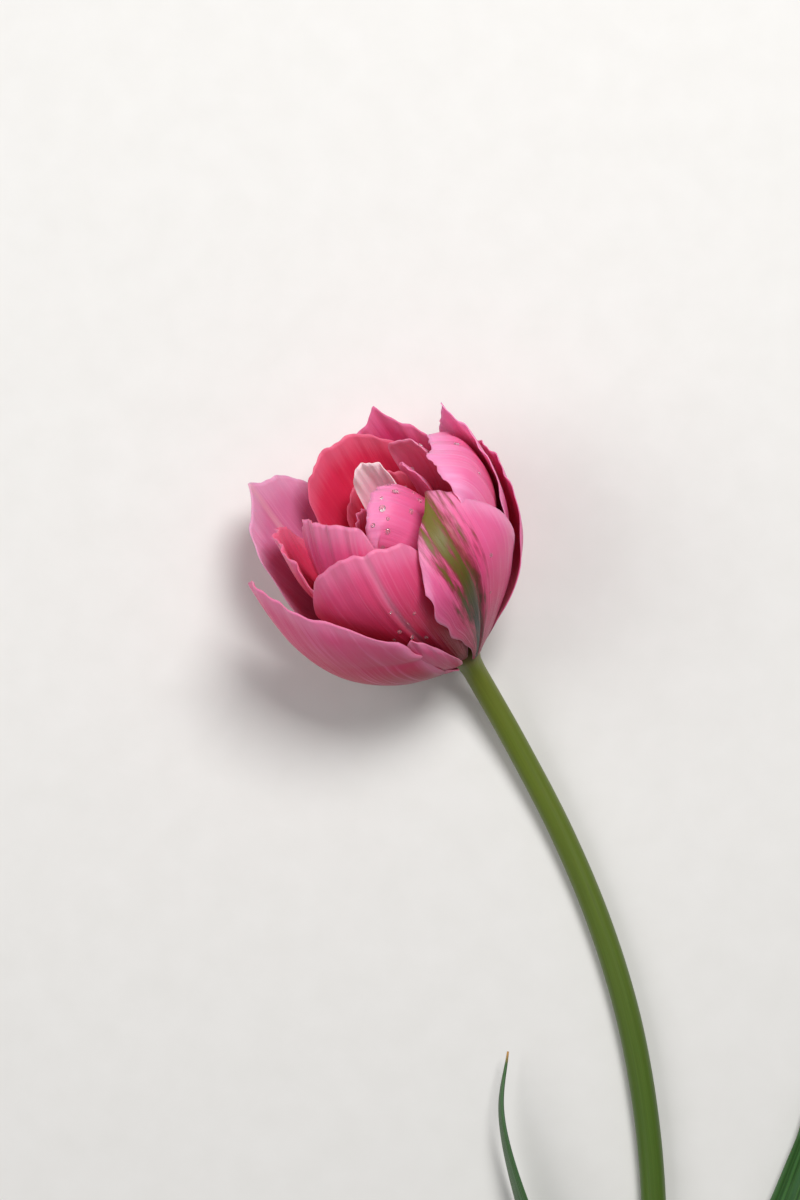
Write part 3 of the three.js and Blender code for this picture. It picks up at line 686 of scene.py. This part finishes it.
def plant_tissue(name, low, high, low_height, high_height, roughness):
    """Smooth living tissue, its colour changing up the head's axis, finely speckled."""
    material, tree, shader = new_material(name)
    place = node(tree, "ShaderNodeTexCoord").outputs["Object"]
    height = node(tree, "ShaderNodeVectorMath", {"operation": "DOT_PRODUCT"}, _0=place,
                  _1=tuple(HEAD_AXIS)).outputs["Value"]
    start = float(RECEPTACLE @ HEAD_AXIS) * MM
    rise = node(tree, "ShaderNodeMapRange", Value=height, From_Min=start + low_height * MM,
                From_Max=start + high_height * MM)
    specks = node(tree, "ShaderNodeTexNoise", Vector=place, Scale=2500.0, Detail=3.0)
    tone = node(tree, "ShaderNodeMix", {"data_type": "RGBA"}, Factor=rise.outputs[0],
                _6=colour(low), _7=colour(high))
    tone = node(tree, "ShaderNodeMix", {"data_type": "RGBA", "blend_type": "OVERLAY"}, Factor=0.4,
                _6=tone.outputs[2], _7=specks.outputs["Fac"])
    tree.links.new(tone.outputs[2], shader.inputs["Base Color"])
    bump = node(tree, "ShaderNodeBump", Height=specks.outputs["Fac"], Strength=0.3,
                Distance=0.0003)
    tree.links.new(bump.outputs["Normal"], shader.inputs["Normal"])
    shader.inputs["Roughness"].default_value = roughness
    return material


def turned(name, profile, sides, lobes, depth, foot, tilt_out, azimuth, skin):
    """A body turned about the head's axis from (radius, height) points in mm."""
    profile = np.array(profile, float)
    turn = np.linspace(0, 2 * math.pi, sides, endpoint=False)
    wave = 1 + depth * np.cos(lobes * turn)
    ring = profile[:, 0, None] * wave
    out = foot + ring * np.cos(turn) + tilt_out * (profile[:, 1, None] - 7.6)
    over = ring * np.sin(turn)
    front = out * math.cos(azimuth) - over * math.sin(azimuth)
    right = out * math.sin(azimuth) + over * math.cos(azimuth)
    points = (RECEPTACLE + front[..., None] * HEAD_FRONT + right[..., None] * HEAD_RIGHT
              + np.repeat(profile[:, 1], sides).reshape(len(profile), sides, 1) * HEAD_AXIS)
    faces = grid_faces(len(profile) - 1, sides, closed=True)
    faces += [tuple(range(sides))[::-1],
              tuple(range((len(profile) - 1) * sides, len(profile) * sides))]
    piece = mesh_piece(name, points.reshape(-1, 3) * MM, faces, [skin])
    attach(piece, "root")
    return piece


ovary_skin = plant_tissue("ovary_green_to_cream", "#8fa34a", "#efe6b4", 20, 24.5, 0.5)
pistil = turned("pistil_ovary", [(0.9, 7.7), (1.3, 8), (1.6, 10.6), (1.65, 16), (1.55, 20.6),
                                 (1.15, 23.2), (1.5, 23.9), (2.35, 24.7), (2.4, 25.3), (1.7, 25.8),
                                 (0.3, 25.6)], 36, 3, 0.1, 0, 0, 0, ovary_skin)
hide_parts("pistil")
anther_skin = plant_tissue("anther_purple_pollen", "#b9bf6a", "#2c1230", 13.6, 14.6, 0.75)
for number in range(6):
    stamen = turned(f"stamen_{number + 1}_thread", [
        (0.3, 7.7), (0.4, 8), (0.36, 11), (0.3, 13.4), (0.35, 14), (0.62, 14.5), (0.7, 15.5),
        (0.7, 19), (0.6, 20.4), (0.3, 21.3), (0.08, 21.5)], 16, 4, 0.12, 2.6,
        math.tan(math.radians(1)), math.radians(50 + 60 * number), anther_skin)
    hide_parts(f"stamen_{number + 1}")


# ---- the water drops -----------------------------------------------------------------------
# Clear beads of water, 1 to 2.2 mm across, that sit flattened on the waxy petals.

water, tree, shader = new_material("water_clear")
shader.inputs["Base Color"].default_value = colour("#ffe9f0")
ripple = node(tree, "ShaderNodeTexNoise", Scale=400.0, Detail=1.0)
bump = node(tree, "ShaderNodeBump", Height=ripple.outputs["Fac"], Strength=0.03, Distance=0.0002)
tree.links.new(bump.outputs["Normal"], shader.inputs["Normal"])
shader.inputs["Roughness"].default_value = 0.02
shader.inputs["IOR"].default_value = 1.33
shader.inputs["Transmission Weight"].default_value = 0.85

DROPS = {
    "petal_core_right": [
        (0.86, -0.62, 0.9), (0.93, -0.3, 1.0), (0.8, -0.2, 0.8), (0.9, 0.1, 1.1), (0.78, 0.2, 0.8),
        (0.84, -0.85, 0.7), (0.7, -0.45, 0.75), (0.95, 0.45, 0.7), (0.72, 0.05, 0.6),
        (0.66, -0.7, 0.7), (0.76, -0.75, 0.55), (0.6, -0.1, 0.5), (0.97, -0.55, 0.6),
        (0.89, -0.45, 0.5), (0.82, 0.4, 0.6), (0.95, -0.08, 0.5), (0.9, 0.7, 0.5)],
    "petal_front_notched": [
        (0.5, -0.06, 0.7), (0.56, -0.14, 0.8), (0.6, 0.03, 0.6), (0.45, 0.1, 0.7),
        (0.64, 0.2, 0.55), (0.52, -0.3, 0.5), (0.7, -0.05, 0.5)],
    "petal_inner_right": [(0.9, 0.35, 0.8), (0.8, -0.1, 0.55)],
    "petaloid_pale": [(0.9, 0.3, 0.6), (0.75, -0.2, 0.6), (0.6, 0.1, 0.5)],
    "petaloid_bright": [(0.93, 0.2, 0.6), (0.9, -0.4, 0.5)],
    "petal_inner_back_right": [(0.97, -0.4, 0.7), (0.97, 0.2, 0.6)],
    "petal_outer_flamed": [(0.7, 0.4, 0.6), (0.5, 0.3, 0.5)],
}
bead_points, bead_faces = [], []
BEAD_ROWS, BEAD_SIDES = 8, 20
for name, beads in DROPS.items():
    petal = GROWN[name]
    for up, side, size in beads:
        here, higher, aside = petal_blade(petal, np.array([up, up + 0.01, up]),
                                          np.array([side, side, side + 0.01]), 0.3)
        right = (aside - here) / np.linalg.norm(aside - here)
        out = np.cross(right, higher - here)
        out /= np.linalg.norm(out)
        rise = np.cross(out, right)
        start = len(bead_points)
        for i in range(BEAD_ROWS + 1):
            climb = math.pi / 2 * i / BEAD_ROWS
            radius = size * math.cos(climb) ** 0.8 + 0.01
            for j in range(BEAD_SIDES):
                turn = 2 * math.pi * j / BEAD_SIDES
                radius_here = radius * (1 + 0.08 * math.cos(2 * turn + 7 * up))
                bead_points.append(here + out * (0.62 * size * math.sin(climb) - 0.12)
                                   + right * radius_here * math.cos(turn)
                                   + rise * radius_here * math.sin(turn))
        bead_faces += grid_faces(BEAD_ROWS, BEAD_SIDES, closed=True, start=start)
        bead_faces.append(tuple(range(start, start + BEAD_SIDES))[::-1])
        top = start + BEAD_ROWS * BEAD_SIDES
        bead_faces.append(tuple(range(top, top + BEAD_SIDES)))
drops = mesh_piece("water_drops", np.array(bead_points) * MM, bead_faces, [water])
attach(drops, "root")
